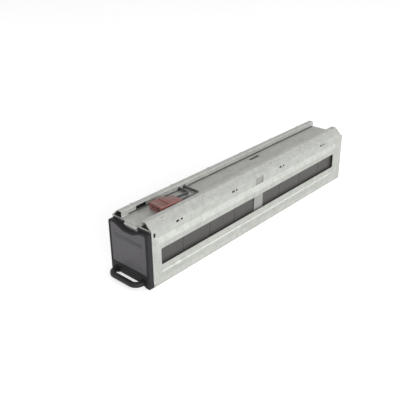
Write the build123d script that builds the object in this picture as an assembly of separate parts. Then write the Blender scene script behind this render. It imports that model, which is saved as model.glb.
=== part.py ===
from build123d import *
import math
import os

# Rack battery cartridge: sealed batteries in a long folded steel case with a moulded front.
# Frame: X across the case, Y along it with the front towards -Y, Z up from the floor. Millimetres.

# Batteries: block sizes across, along and up the case, and how they are set out
battery_length = 90.0
battery_width = 70.0
battery_height = 101.0
battery_corner = 1.2
battery_lid = 16.0
lid_groove_depth = 0.7
lid_groove_height = 1.2
vent_cover_length = 58.0
vent_cover_width = 36.0
vent_cover_corner = 4.0
vent_cover_recess = 0.8
batteries_per_bay = 4
battery_gap = 0.2
terminal_inset = 11.5
tab_width = 6.3
tab_thickness = 0.8
tab_height = 5.5

# Sheet thicknesses and the gaps between pieces
case_sheet = 1.2
cover_sheet = 1.0
liner_sheet = 1.0
insulator_sheet = 0.5
side_gap = 1.8
sheet_gap = 0.1
cover_gap = 0.3
piece_gap = 0.2
bend_radius = 1.6

# Lengths along the case, front to rear
bezel_depth = 10.6
front_pad_space = 4.2
rear_pad_space = 18.1
divider_web = 1.5
divider_flange = 27.0
divider_flange_sheet = 1.2

# Case side: pressed panel with a bead along its foot, window, notch, lances and snap slot;
# drops are from the side's top fold
press_depth = 2.6
press_front = 21.0
press_rear_margin = 26.0
press_end_slope = 5.0
press_bottom = 4.0
press_top_drop = 17.6
press_lower_slope = 13.0
press_upper_slope = 11.0
press_round = 2.0
bead_width = 7.0
bead_rise = 1.3
bead_height = 18.5
bead_end_margin = 6.0
window_front = 28.5
window_rear_margin = 37.0
window_bottom = 34.0
window_top_drop = 38.6
window_corner = 2.5
notch_width = 24.0
notch_drop = 16.6
notch_top_drop = 2.6
lance_first = 68.0
lance_rear_margin = 89.4
lance_count = 4
lance_drop = 4.6
lance_long = 7.0
lance_short = 5.0
lance_bridge = 4.0
lance_tall = 4.0
snap_drop = 5.0
snap_slot_long = 5.0
snap_slot_tall = 8.0
snap_slot_depth = 14.5

# Rear ledge: the end wall is lower than the sides and folded in under the cover's end plate
ledge_long = 8.4
ledge_drop = 5.6
ledge_flange = 15.0

# Case floor: pressed runners that carry the case at the height of the front feet
foot_drop = 5.5
runner_spacing = 46.0
runner_width = 20.0
runner_slope = 5.0
runner_front = 40.0
runner_rear_margin = 48.0

# Top cover: two hollow rails beside a valley
rail_height = 10.6
rail_foot = 24.0
ridge_width = 10.4
seam_inset = 6.6
seam_overlap = 4.2
cover_front_gap = 0.4
rail_slot_front = 44.0
rail_slot_long = 24.0
rail_slot_bottom = 0.9
rail_slot_tall = 7.6
valley_slot_offset = 44.5
valley_slot_long = 30.0
valley_slot_wide = 7.0
valley_slot_inset = 8.5
lead_slot_front = 137.0
lead_slot_long = 38.0
front_lip_width = 30.0
front_lip_drop = 5.0
front_lip_reach = 2.6

# Cover screws along both slopes
screw_first = 47.0
screw_rear_margin = 51.4
screw_count = 6
screw_head_radius = 2.6
screw_head_height = 1.3
screw_head_bevel = 0.7
screw_radius = 1.4
screw_hole_radius = 1.55
screw_length = 2.8

# Moulded front: scooped top, feet, label recess, ribs and snap arms
bezel_wall = 2.4
bezel_face = 3.0
bezel_round = 1.6
ear_width = 11.0
ear_rise = 8.5
ear_round = 4.0
scoop_flat = 11.0
scoop_drop = 13.1
scoop_round = 6.0
foot_width = 12.0
foot_round = 2.0
label_side_margin = 5.0
label_top_margin = 2.6
label_bottom = 20.0
label_recess = 0.9
label_thickness = 0.5
label_gap = 0.3
label_corner = 2.0
bezel_rib = 1.6
bezel_rib_spacing = 24.0
bezel_cross_ribs = 3
snap_arm = 1.2
snap_arm_tall = 7.0
snap_arm_reach = 21.0
snap_lug = 1.2
snap_lug_long = 3.6
snap_lug_tip = 0.4

# Pull handle: a moulded loop fixed through the front
handle_width = 77.0
handle_reach = 22.0
handle_bar = 10.0
handle_tall = 8.0
handle_bend = 13.0
handle_round = 2.6
handle_height = 5.0
handle_pad_width = 13.0
handle_pad_tall = 12.0
handle_pad_thickness = 1.6
handle_boss_radius = 3.6
handle_screw_radius = 1.9
handle_screw_head_radius = 3.2
handle_screw_head = 2.2
handle_screw_bite = 12.0

# Two-pole connector in the valley: mating end to the front, wire end to the rear
connector_side_gap = 8.0
connector_height = 15.6
connector_body = 41.0
connector_clamp = 19.0
connector_clamp_inset = 2.0
connector_clamp_height = 9.6
connector_front = 62.0
connector_offset = 4.3
connector_turn = -4.0
connector_round = 1.4
pole_inset = 1.0
pole_wall = 3.5
pole_mouth_height = 8.6
pole_mouth_depth = 26.0
contact_side_gap = 1.3
contact_thickness = 2.0
contact_inset = 5.0
contact_barrel = 9.0
contact_root = 1.0
wire_height = 4.8

# Wiring
lead_radius = 2.3
lead_bore_gap = 0.15
link_radius = 2.0
boot_thick = 5.0
boot_long = 10.0
boot_tall = 6.6
boot_corner = 1.0
lead_sway = 14.0
lead_lane = 3.7
lead_lane_height = 3.4
lead_exit_bend = 12.0
lead_valley_bend = 9.0
lead_rail_bend = 8.0
lead_shift_bend = 20.0
negative_turn = 150.0
positive_turn = 162.0
lead_shift_start = 24.0
lead_shift_end = 12.0

# Soft pads at both ends and the liners under the batteries
pad_side_margin = 3.0
pad_bottom = 6.0
pad_top_margin = 8.0
liner_upstand = 14.0

# Heights worked out from the floor upwards
base_z = foot_drop
floor_top = base_z + case_sheet
battery_base = floor_top + liner_sheet
battery_top = battery_base + battery_height
valley_under = battery_top + insulator_sheet + cover_gap
valley_top = valley_under + cover_sheet
ridge_top = valley_top + rail_height

# Widths worked out from the middle outwards
half_width = battery_length / 2 + side_gap + case_sheet
inner_half = half_width - case_sheet
rail_inner = half_width - rail_foot
ridge_outer = rail_inner + ridge_width
slope = math.atan2(rail_height, half_width - ridge_outer)
seam_x = half_width - seam_inset
flange_end_x = seam_x - seam_overlap
flange_step = (cover_sheet + sheet_gap) / math.cos(slope)
terminal_x = battery_length / 2 - terminal_inset
connector_width = 2 * (rail_inner - connector_side_gap)
connector_clamp_width = connector_width - 2 * connector_clamp_inset
pole_spacing = connector_width / 2 - pole_inset
pole_mouth_width = pole_spacing - pole_wall
contact_width = pole_mouth_width - 2 * contact_side_gap

# Heights worked out above the case's base, down from the side's top fold
side_height = valley_top - flange_step - base_z
press_top = side_height - press_top_drop
window_top = side_height - window_top_drop
notch_bottom = side_height - notch_drop
notch_top = side_height - notch_top_drop
lance_height = side_height - lance_drop
scoop_height = side_height - scoop_drop
snap_height = scoop_height + ear_rise - snap_drop

# Lengths worked out from the bezel's face rearwards
bay_length = batteries_per_bay * battery_width + (batteries_per_bay - 1) * battery_gap
first_bay = bezel_depth + case_sheet + front_pad_space
second_bay = first_bay + bay_length + divider_web + 2 * piece_gap
case_rear = second_bay + bay_length + rear_pad_space + case_sheet
cover_rear = case_rear - ledge_long
divider_middle = first_bay + bay_length + piece_gap + divider_web / 2
face_y = handle_reach - (handle_reach + case_rear) / 2


def along(depth):
    """Y of a point at a depth behind the bezel's face."""
    return face_y + depth


def slope_top(x):
    """Height of the cover's sloped outer face at a distance from the middle."""
    return valley_top + (half_width - x) * math.tan(slope)


def flange_top(x):
    """Height of the case flange that the cover's slope lies on."""
    return slope_top(x) - flange_step


def block(xs, ys, zs):
    """A box between pairs of low and high coordinates."""
    spans = (xs, ys, zs)
    middle = [(low + high) / 2 for low, high in spans]
    return Pos(*middle) * Box(*[high - low for low, high in spans])


def section(points):
    """A closed face in the XZ plane through the given points."""
    return make_face(Plane.XZ * Polyline(*points, close=True))


def run_along(face, front, rear):
    """An XZ face carried along Y between two depths."""
    return Pos(0, along(front), 0) * extrude(face, amount=rear - front, dir=(0, 1, 0))


def side_hole(front, rear, low, high, corner):
    """A rounded opening through both case sides."""
    reach = half_width + press_depth + case_sheet
    outline = Pos(along((front + rear) / 2), base_z + (low + high) / 2) * RectangleRounded(
        rear - front, high - low, corner
    )
    return extrude(Plane.YZ.offset(-reach) * outline, amount=2 * reach)


def pair(shape):
    """A shape of the right side with its mirror image."""
    return [shape, mirror(shape, about=Plane.YZ)]


def battery_depths():
    """Depths of the battery middles, front to rear."""
    pitch = battery_width + battery_gap
    half = battery_width / 2
    return [bay + half + pitch * i for bay in (first_bay, second_bay) for i in range(batteries_per_bay)]


def side_pressing(inward):
    """The raised panel of the right case side, moved in by the sheet for its inside."""
    foot = half_width - inward
    low, high = base_z + press_bottom, base_z + press_top
    front, rear = along(press_front), along(case_rear - press_rear_margin)
    middle = Pos((front + rear) / 2, (low + high) / 2)
    base = Plane.YZ.offset(foot) * middle * Rectangle(rear - front, high - low)
    low, high = low + press_lower_slope, high - press_upper_slope
    front, rear = front + press_end_slope, rear - press_end_slope
    middle = Pos((front + rear) / 2, (low + high) / 2)
    face = Plane.YZ.offset(foot + press_depth) * middle * Rectangle(rear - front, high - low)
    return loft([base, face])


def panel_bead(inward):
    """The round bead along the foot of the right pressed panel, moved in by the sheet for its inside."""
    radius = bead_width**2 / (8 * bead_rise) + bead_rise / 2
    margin = press_end_slope + bead_end_margin
    front, rear = press_front + margin, case_rear - press_rear_margin - margin
    rod = Cylinder(radius - inward, rear - front, align=(Align.CENTER, Align.CENTER, Align.MIN))
    rod += [Pos(0, 0, z) * Sphere(radius - inward) for z in (0, rear - front)]
    crown = half_width + press_depth + bead_rise
    return Pos(crown - radius, along(front), base_z + bead_height) * Rot(-90, 0, 0) * rod


def floor_runner(upward):
    """One pressed runner of the case floor, moved up by the sheet for its inside."""
    front, rear = along(runner_front), along(case_rear - runner_rear_margin)
    middle = Pos(runner_spacing / 2, (front + rear) / 2)
    base = Plane.XY.offset(base_z + upward) * middle * Rectangle(runner_width, rear - front)
    narrow = 2 * runner_slope
    foot = Plane.XY.offset(upward) * middle * Rectangle(runner_width - narrow, rear - front - narrow)
    return loft([base, foot])


def case_flange():
    """The right side's sloped top flange, folded in over the batteries."""
    drop = Vector(-math.sin(slope), -math.cos(slope)) * case_sheet
    bend = Vector(half_width, flange_top(half_width))
    end = Vector(flange_end_x, flange_top(flange_end_x))
    inner_bend = bend.Y + drop.Y + (case_sheet + drop.X) * math.tan(slope)
    points = [
        (bend.X, bend.Y),
        (end.X, end.Y),
        ((end + drop).X, (end + drop).Y),
        (inner_half, inner_bend),
        (inner_half, bend.Y - 2 * case_sheet),
        (half_width, bend.Y - 2 * case_sheet),
    ]
    return run_along(section(points), bezel_depth, cover_rear)


def screw_places():
    """Locations of the right slope's screws, with Z out of the cover's face."""
    x = (seam_x + flange_end_x) / 2
    turn = math.degrees(math.pi / 2 - slope)
    pitch = (case_rear - screw_rear_margin - screw_first) / (screw_count - 1)
    depths = [screw_first + pitch * i for i in range(screw_count)]
    return [Pos(x, along(d), slope_top(x)) * Rot(0, 90 - turn, 0) for d in depths]


def screw_holes():
    """Clearance holes for the cover screws of both slopes."""
    hole = Cylinder(screw_hole_radius, 2 * (screw_length + case_sheet))
    return [tool for place in screw_places() for tool in pair(place * hole)]


def case():
    """Folded tray: floor with runners, pressed sides with windows, end walls and top flanges."""
    ends = (along(bezel_depth), along(case_rear))
    walls = block((-half_width, half_width), ends, (base_z, flange_top(half_width)))
    walls = fillet(walls.edges().filter_by(Axis.Y).group_by(Axis.Z)[0], bend_radius + case_sheet)
    panel = side_pressing(0)
    panel = fillet(panel.faces().sort_by(Axis.X)[-1].edges(), press_round)
    body = walls + pair(panel) + pair(panel_bead(0)) + pair(floor_runner(0))
    inside = (ends[0] + case_sheet, ends[1] - case_sheet)
    room = block((-inner_half, inner_half), inside, (floor_top, ridge_top))
    room = fillet(room.edges().filter_by(Axis.Y).group_by(Axis.Z)[0], bend_radius)
    body -= [room] + pair(side_pressing(case_sheet)) + pair(floor_runner(case_sheet))
    body -= pair(panel_bead(case_sheet))
    body += pair(case_flange())
    ledge_top = flange_top(half_width) - ledge_drop
    body -= block((-half_width, half_width), (along(cover_rear), ends[1]), (ledge_top, ridge_top))
    ledge_ys = (ends[1] - ledge_flange, ends[1])
    body += block((-inner_half, inner_half), ledge_ys, (ledge_top - case_sheet, ledge_top))
    return body - side_openings() - screw_holes() - handle_screw_holes() - snap_passages()


def lance_slot(start, long):
    """One slot of a lance in both case sides."""
    low = base_z + lance_height - lance_tall / 2
    xs = (inner_half - case_sheet, half_width + case_sheet)
    return pair(block(xs, (along(start), along(start + long)), (low, low + lance_tall)))


def side_openings():
    """Windows, strap notches, lances and snap slots of the case sides."""
    middle = divider_middle
    half = notch_width / 2
    window_rear = case_rear - window_rear_margin
    cuts = [side_hole(window_front, window_rear, window_bottom, window_top, window_corner)]
    cuts.append(side_hole(middle - half, middle + half, notch_bottom, notch_top, case_sheet))
    pitch = (case_rear - lance_rear_margin - lance_first) / (lance_count - 1)
    for i in range(lance_count):
        start = lance_first + pitch * i
        cuts += lance_slot(start, lance_long)
        cuts += lance_slot(start + lance_long + lance_bridge, lance_short)
    low, high = snap_height - snap_slot_tall / 2, snap_height + snap_slot_tall / 2
    cuts.append(side_hole(snap_slot_depth, snap_slot_depth + snap_slot_long, low, high, case_sheet))
    return cuts


def snap_passages():
    """Slots of the front wall that the bezel's snap arms pass through."""
    tall = snap_arm_tall / 2 + piece_gap
    xs = (inner_half - snap_arm - 2 * piece_gap, inner_half)
    ys = (along(bezel_depth - case_sheet), along(bezel_depth + 2 * case_sheet))
    return pair(block(xs, ys, (base_z + snap_height - tall, base_z + snap_height + tall)))


def handle_axis():
    """Distance of each handle arm from the middle."""
    return (handle_width - handle_bar) / 2


def handle_screw_place():
    """Location on the bezel's face behind the right handle arm, with Z along the screw to the front."""
    return Pos(handle_axis(), face_y, base_z + handle_height) * Rot(90, 0, 0)


def handle_screw_holes():
    """Holes of the bezel and front wall for the handle screws."""
    length = 2 * (bezel_depth + 2 * case_sheet)
    return pair(handle_screw_place() * Cylinder(handle_screw_radius + piece_gap, length))


def cover_line():
    """Outer line of the cover from the left seam over both rails to the right seam."""
    right = [
        (rail_inner, valley_top),
        (rail_inner, ridge_top),
        (ridge_outer, ridge_top),
        (seam_x, slope_top(seam_x)),
    ]
    left = [(-x, z) for x, z in reversed(right)]
    return Plane.XZ * FilletPolyline(*left, *right, radius=bend_radius)


def rear_plate():
    """End plate of the cover, down to the case's rear ledge."""
    inset = cover_sheet / 2
    outer = flange_end_x - case_sheet
    points = [
        (0, valley_top - inset),
        (rail_inner + inset, valley_top - inset),
        (rail_inner + inset, ridge_top - inset),
        (ridge_outer, ridge_top - inset),
        (outer, slope_top(outer) - inset / math.cos(slope)),
        (outer, flange_top(half_width) - ledge_drop + piece_gap),
    ]
    return run_along(mirrored_face(points), cover_rear - cover_sheet, cover_rear)


def front_lip():
    """Front edge of the valley, folded down over the front wall and flared at its end."""
    fold_y = along(bezel_depth - sheet_gap - cover_sheet)
    fold_z = valley_top - front_lip_drop
    points = [
        (along(bezel_depth) + 2 * bend_radius, valley_top),
        (fold_y, valley_top),
        (fold_y, fold_z),
        (fold_y - front_lip_reach, fold_z - front_lip_reach),
    ]
    line = FilletPolyline(*points, radius=bend_radius)
    strip = make_face(offset(line, cover_sheet, side=Side.LEFT))
    return extrude(Plane.YZ.offset(-front_lip_width / 2) * strip, amount=front_lip_width)


def valley_slot():
    """Wire slot in the valley floor near the left rail's foot."""
    left = valley_slot_inset - rail_inner
    start = divider_middle + valley_slot_offset
    ys = (along(start), along(start + valley_slot_long))
    return block((left, left + valley_slot_wide), ys, (valley_under - cover_gap, valley_top + cover_gap))


def rail_slot(front, long):
    """A cable slot in the right rail's inner wall."""
    xs = (rail_inner - cover_sheet, rail_inner + 2 * cover_sheet)
    low = valley_top + rail_slot_bottom
    return block(xs, (along(front), along(front + long)), (low, low + rail_slot_tall))


def top_cover():
    """Folded cover with two hollow rails, open at the front and closed at the rear."""
    strip = make_face(offset(cover_line(), cover_sheet, side=Side.RIGHT))
    cover = run_along(strip, bezel_depth + cover_front_gap, cover_rear)
    cover += [rear_plate(), front_lip()]
    slots = pair(rail_slot(rail_slot_front, rail_slot_long))
    slots.append(mirror(rail_slot(lead_slot_front, lead_slot_long), about=Plane.YZ))
    return cover - slots - valley_slot() - screw_holes()


def cover_screws():
    """Round-headed screws through the cover's slopes into the case flanges."""
    head = Cylinder(screw_head_radius, screw_head_height, align=(Align.CENTER, Align.CENTER, Align.MIN))
    head = chamfer(head.edges().group_by(Axis.Z)[-1], screw_head_bevel)
    shank = Cylinder(screw_radius, screw_length, align=(Align.CENTER, Align.CENTER, Align.MAX))
    screw = head + shank
    return Compound([solid for place in screw_places() for solid in pair(place * screw)])


def front_outline(inset, bottom, top_drop):
    """Half outline of the front, from the middle of its scooped top round to the foot."""
    outer = half_width - inset
    scoop = base_z + scoop_height - top_drop
    ear = outer - ear_width
    return [
        (0, scoop),
        (scoop_flat, scoop),
        (ear, scoop + ear_rise),
        (outer, scoop + ear_rise),
        (outer, bottom),
    ]


def mirrored_face(points):
    """A face from half of its outline, mirrored about the middle."""
    return section(points + [(-x, z) for x, z in reversed(points) if x > 0])


def scooped(face):
    """The face with the bends of its scooped top and its upper corners rounded."""
    tops = [v for v in face.vertices() if v.Z > base_z + scoop_height / 2 and abs(v.X) > piece_gap]
    reach = max(v.X for v in tops) - piece_gap
    face = fillet([v for v in tops if abs(v.X) < reach], scoop_round)
    return fillet([v for v in face.vertices().group_by(Axis.Z)[-1] if abs(v.X) > reach], ear_round)


def bezel_body():
    """Front shell with its feet, hollow behind the face."""
    whole = front_outline(0, base_z, 0)
    shell = run_along(scooped(mirrored_face(whole)), 0, bezel_depth)
    ys = (along(0), along(bezel_depth))
    foot = block((half_width - foot_width, half_width), ys, (0, base_z + foot_round))
    foot = fillet(foot.edges().filter_by(Axis.Y).group_by(Axis.Z)[0], foot_round)
    shell += pair(foot)
    front = shell.faces().sort_by(Axis.Y)[0]
    shell = fillet(front.outer_wire().edges(), bezel_round)
    hollow = front_outline(bezel_wall, base_z + bezel_wall, bezel_wall)
    return shell - run_along(scooped(mirrored_face(hollow)), bezel_face, bezel_depth)


def label_face(gap):
    """Outline of the label field under the scooped top edge."""
    outline = front_outline(label_side_margin + gap, base_z + label_bottom + gap, label_top_margin + gap)
    face = scooped(mirrored_face(outline))
    return fillet(face.vertices().group_by(Axis.Z)[0], label_corner)


def bezel_ribs():
    """Upright and cross ribs behind the face."""
    depth = (along(bezel_face), along(bezel_depth - piece_gap))
    half = bezel_rib / 2
    top = base_z + scoop_height - bezel_wall
    ribs = []
    for x in (-bezel_rib_spacing, 0, bezel_rib_spacing):
        ribs.append(block((x - half, x + half), depth, (base_z + bezel_wall, top)))
    pitch = (top - base_z - bezel_wall) / (bezel_cross_ribs + 1)
    for row in range(bezel_cross_ribs):
        z = base_z + bezel_wall + (row + 1) * pitch
        ribs.append(block((bezel_wall - half_width, half_width - bezel_wall), depth, (z - half, z + half)))
    return ribs


def snap_arm_right():
    """A snap arm along the inside of the case side, with a lug in its slot."""
    outer = inner_half - piece_gap
    zs = (base_z + snap_height - snap_arm_tall / 2, base_z + snap_height + snap_arm_tall / 2)
    arm = block((outer - snap_arm, outer), (along(bezel_face), along(snap_arm_reach)), zs)
    start = snap_slot_depth + piece_gap
    points = [
        (outer - snap_arm / 2, along(start)),
        (outer + snap_lug, along(start)),
        (outer + snap_lug_tip, along(start + snap_lug_long)),
        (outer - snap_arm / 2, along(start + snap_lug_long)),
    ]
    lug = extrude(Plane.XY.offset(zs[0]) * make_face(Polyline(*points, close=True)), amount=zs[1] - zs[0])
    return arm + lug


def front_bezel():
    """Moulded front: shell, ribs, screw bosses, label recess and snap arms."""
    bezel = bezel_body() + bezel_ribs()
    high = (Align.CENTER, Align.CENTER, Align.MAX)
    boss = Cylinder(handle_boss_radius, bezel_depth - bezel_face, align=high)
    bezel += pair(handle_screw_place() * Pos(0, 0, -bezel_face) * boss)
    bezel += pair(snap_arm_right())
    recess = run_along(label_face(0), 0, label_recess)
    return bezel - recess - handle_screw_holes()


def front_label():
    """Plain label field in the bezel's recess."""
    return run_along(label_face(label_gap), label_recess - label_thickness, label_recess)


def handle_path():
    """Middle line of the handle loop from the left arm's foot to the right arm's."""
    x = handle_axis()
    bar_y = face_y - handle_reach + handle_bar / 2
    z = base_z + handle_height
    corners = [(-x, face_y, z), (-x, bar_y, z), (x, bar_y, z), (x, face_y, z)]
    return FilletPolyline(*corners, radius=handle_bend)


def pull_handle():
    """Moulded loop with a pad at the foot of each arm."""
    foot = (-handle_axis(), face_y, base_z + handle_height)
    start = Plane(origin=foot, x_dir=(1, 0, 0), z_dir=(0, -1, 0))
    grip = sweep(start * RectangleRounded(handle_bar, handle_tall, handle_round), path=handle_path())
    place = handle_screw_place()
    pad = RectangleRounded(handle_pad_width, handle_pad_tall, handle_round)
    grip += pair(place * extrude(pad, amount=handle_pad_thickness))
    low = (Align.CENTER, Align.CENTER, Align.MIN)
    pilot = Cylinder(handle_screw_radius, handle_screw_bite, align=low)
    return grip - pair(place * pilot)


def handle_screws():
    """Screws from inside the front wall into the handle arms."""
    wall = bezel_depth + case_sheet
    reach = wall + handle_screw_bite - 2 * piece_gap
    low = (Align.CENTER, Align.CENTER, Align.MIN)
    shank = Pos(0, 0, -wall) * Cylinder(handle_screw_radius, reach, align=low)
    head = Cylinder(handle_screw_head_radius, handle_screw_head, align=low)
    screw = shank + Pos(0, 0, -wall - handle_screw_head) * head
    return Compound(pair(handle_screw_place() * screw))


def battery():
    """Sealed battery standing on Z = 0, with its lid groove and vent cover recess."""
    outline = RectangleRounded(battery_length, battery_width, battery_corner)
    body = extrude(outline, amount=battery_height)
    neck = RectangleRounded(
        battery_length - 2 * lid_groove_depth, battery_width - 2 * lid_groove_depth, battery_corner
    )
    groove = extrude(outline - neck, amount=lid_groove_height)
    vent_outline = RectangleRounded(vent_cover_length, vent_cover_width, vent_cover_corner)
    vent = extrude(vent_outline, amount=vent_cover_recess)
    body -= Pos(0, 0, battery_height - battery_lid) * groove
    return body - Pos(0, 0, battery_height - vent_cover_recess) * vent


def terminal_places():
    """Points on the battery tops where the terminals stand."""
    return [Pos(s * terminal_x, along(d), battery_top) for d in battery_depths() for s in (-1, 1)]


def battery_terminals():
    """Flat tabs of all the batteries."""
    tab = Box(tab_thickness, tab_width, tab_height, align=(Align.CENTER, Align.CENTER, Align.MIN))
    return Compound([place * tab for place in terminal_places()])


def terminal_boots():
    """Insulated receptacles pushed over the tabs."""
    low = (Align.CENTER, Align.CENTER, Align.MIN)
    boot = Box(boot_thick, boot_long, boot_tall, align=low)
    boot = chamfer(boot.edges().filter_by(Axis.Z), boot_corner)
    mouth = Box(tab_thickness + piece_gap, tab_width + piece_gap, tab_height + piece_gap, align=low)
    return Compound([place * Pos(0, 0, piece_gap) * (boot - mouth) for place in terminal_places()])


def wire_z():
    """Height of the wires at the boots."""
    return battery_top + piece_gap + boot_tall / 2


def series_link(index):
    """Wire from one battery to the next, on the right and left sides by turns."""
    depths = battery_depths()
    side = 1 if index % 2 == 0 else -1
    start = along(depths[index] + boot_long / 2)
    end = along(depths[index + 1] - boot_long / 2)
    place = Pos(side * terminal_x, start, wire_z()) * Rot(-90, 0, 0)
    return place * Cylinder(link_radius, end - start, align=(Align.CENTER, Align.CENTER, Align.MIN))


def connector_place():
    """Location of the connector's front face on the valley floor, with its body towards +Y."""
    return Pos(connector_offset, along(connector_front), valley_top) * Rot(0, 0, connector_turn)


def pole_offsets():
    """Sideways places of the two poles."""
    return (-pole_spacing / 2, pole_spacing / 2)


def wire_bore_start():
    """Depth in the connector where the contact barrels end and the wires begin."""
    return connector_body + connector_clamp / 2


def connector_housing():
    """Moulded two-pole block: mouths at the front, a lower wire clamp at the rear."""
    base = (Align.CENTER, Align.MIN, Align.MIN)
    body = Box(connector_width, connector_body, connector_height, align=base)
    body = fillet(body.edges().filter_by(Axis.Y), connector_round)
    clamp = Box(connector_clamp_width, connector_clamp, connector_clamp_height, align=base)
    clamp = fillet(clamp.edges().filter_by(Axis.Y), connector_round)
    housing = body + Pos(0, connector_body, 0) * clamp
    for x in pole_offsets():
        low = (connector_height - pole_mouth_height) / 2
        mouth = Box(pole_mouth_width, pole_mouth_depth, pole_mouth_height, align=base)
        housing -= Pos(x, 0, low) * mouth
        housing -= Pos(x, 0, 0) * contact_passage()
    groove = Box(connector_width, connector_round, connector_round, align=base)
    housing -= Pos(0, connector_body / 2, connector_height - connector_round) * groove
    return connector_place() * housing


def contact_passage():
    """Opening of one pole from its mouth through to the wire end."""
    blade = block(
        (-contact_width / 2 - lead_bore_gap, contact_width / 2 + lead_bore_gap),
        (pole_mouth_depth / 2, wire_bore_start()),
        (blade_z()[0] - lead_bore_gap, blade_z()[1] + lead_bore_gap),
    )
    low = (Align.CENTER, Align.CENTER, Align.MIN)
    bore = Cylinder(lead_radius + lead_bore_gap, connector_clamp, align=low)
    start = wire_bore_start() - contact_barrel
    long_bore = Pos(0, start, wire_height) * Rot(-90, 0, 0) * bore
    return blade + long_bore


def blade_z():
    """Low and high faces of the contact blades."""
    return (wire_height - contact_thickness / 2, wire_height + contact_thickness / 2)


def connector_contacts():
    """Flat contacts with round barrels for the two wires."""
    start = wire_bore_start() - contact_barrel
    blade = block((-contact_width / 2, contact_width / 2), (contact_inset, start + contact_root), blade_z())
    barrel = Cylinder(lead_radius, contact_barrel, align=(Align.CENTER, Align.CENTER, Align.MIN))
    contact = blade + Pos(0, start, wire_height) * Rot(-90, 0, 0) * barrel
    return Compound([connector_place() * Pos(x, 0, 0) * contact for x in pole_offsets()])


def lead(points):
    """A round lead along straight runs and tangent arcs."""
    bends = (lead_exit_bend, lead_valley_bend, lead_rail_bend, lead_shift_bend, lead_shift_bend)
    path = FilletPolyline(*points, radius=bends)
    start = Plane(origin=path @ 0, z_dir=path % 0)
    return sweep(start * Circle(lead_radius), path=path)


def lead_start(x):
    """First two points of a lead, inside the connector and straight out behind it."""
    end = connector_body + connector_clamp
    inside = connector_place() * Pos(x, wire_bore_start(), wire_height)
    outside = connector_place() * Pos(x, end + lead_sway, wire_height)
    return [inside.position, outside.position]


def lane_point(depth):
    """A point of the left rail's wire lane."""
    return Vector(-rail_inner - lead_lane, along(depth), valley_top + lead_lane_height)


def lead_route(x, turn, battery_index, heading):
    """Route of a lead through the rail slot and along the lane to its battery's boot."""
    last = battery_depths()[battery_index]
    start = lead_start(x)
    shift = last - heading * (boot_long / 2 + lead_shift_end)
    boot = Vector(-terminal_x, along(last - heading * boot_long / 2), wire_z())
    lined_up = Vector(-terminal_x, along(shift), wire_z())
    corner = Vector(start[1].X, along(turn), valley_top + lead_lane_height)
    lane = [lane_point(turn), lane_point(shift - heading * lead_shift_start)]
    return start + [corner] + lane + [lined_up, boot]


def negative_lead():
    """Lead from the connector's left pole forward to the front battery."""
    return lead(lead_route(pole_offsets()[0], negative_turn, 0, -1))


def positive_lead():
    """Lead from the connector's right pole rearward to the last battery."""
    return lead(lead_route(pole_offsets()[1], positive_turn, len(battery_depths()) - 1, 1))


def centre_divider():
    """Extruded I-section between the bays, its flanges against the case sides."""
    outer = inner_half - piece_gap
    inner = outer - divider_flange_sheet
    half = divider_flange / 2
    middle = along(divider_middle)
    zs = (floor_top, battery_top - piece_gap)
    web = block((-inner, inner), (middle - divider_web / 2, middle + divider_web / 2), zs)
    clear = (floor_top + bend_radius, zs[1])
    return web + pair(block((inner, outer), (middle - half, middle + half), clear))


def battery_liner(bay):
    """Folded plastic sheet under one bay, turned up along both sides."""
    outer = inner_half - piece_gap
    clear = divider_flange / 2 + piece_gap
    front, rear = bay, bay + bay_length
    sides = (front, divider_middle - clear)
    if bay > divider_middle:
        sides = (divider_middle + clear, rear)
    reach = inner_half - bend_radius
    sheet = block((-reach, reach), (along(front), along(rear)), (floor_top, battery_base))
    ys = (along(sides[0]), along(sides[1]))
    wall = block((outer - liner_sheet, outer), ys, (floor_top + bend_radius, floor_top + liner_upstand))
    knee = [
        (reach - liner_sheet, floor_top),
        (reach, floor_top),
        (outer, floor_top + bend_radius),
        (outer - liner_sheet, floor_top + bend_radius),
        (outer - liner_sheet, battery_base),
        (reach - liner_sheet, battery_base),
    ]
    return sheet + pair(wall) + pair(run_along(section(knee), *sides))


def top_insulator():
    """Thin sheet over the batteries, under the cover's valley."""
    half = rail_inner - piece_gap
    ys = (along(first_bay), along(second_bay + bay_length))
    return block((-half, half), ys, (battery_top, battery_top + insulator_sheet))


def end_pad(front, rear):
    """Foam pad between an end wall and the battery beside it."""
    half = battery_length / 2 - pad_side_margin
    ys = (along(front + sheet_gap), along(rear - sheet_gap))
    return block((-half, half), ys, (battery_base + pad_bottom, battery_top - pad_top_margin))


def front_pad():
    """Front foam pad with room for the handle screw heads."""
    pad = end_pad(bezel_depth + case_sheet, first_bay)
    room = Cylinder(handle_screw_head_radius + 2 * piece_gap, 2 * first_bay)
    return pad - pair(handle_screw_place() * room)


def build_nodes():
    """Every node of the cartridge by name."""
    nodes = {
        "case_tray": case(),
        "top_cover": top_cover(),
        "cover_screws": cover_screws(),
        "front_bezel": front_bezel(),
        "front_label": front_label(),
        "pull_handle": pull_handle(),
        "handle_screws": handle_screws(),
        "centre_divider": centre_divider(),
        "battery_liner_front": battery_liner(first_bay),
        "battery_liner_rear": battery_liner(second_bay),
        "top_insulator": top_insulator(),
        "front_pad": front_pad(),
        "rear_pad": end_pad(second_bay + bay_length, case_rear - case_sheet),
        "battery_terminals": battery_terminals(),
        "terminal_boots": terminal_boots(),
        "connector_housing": connector_housing(),
        "connector_contacts": connector_contacts(),
        "negative_lead": negative_lead(),
        "positive_lead": positive_lead(),
    }
    for number, depth in enumerate(battery_depths(), start=1):
        nodes[f"battery_{number}"] = Pos(0, along(depth), battery_base) * battery()
    for index in range(len(battery_depths()) - 1):
        nodes[f"series_link_{index + 1}"] = series_link(index)
    return nodes


os.makedirs("parts", exist_ok=True)
for name, shape in build_nodes().items():
    export_step(shape, f"parts/{name}.step")
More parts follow.
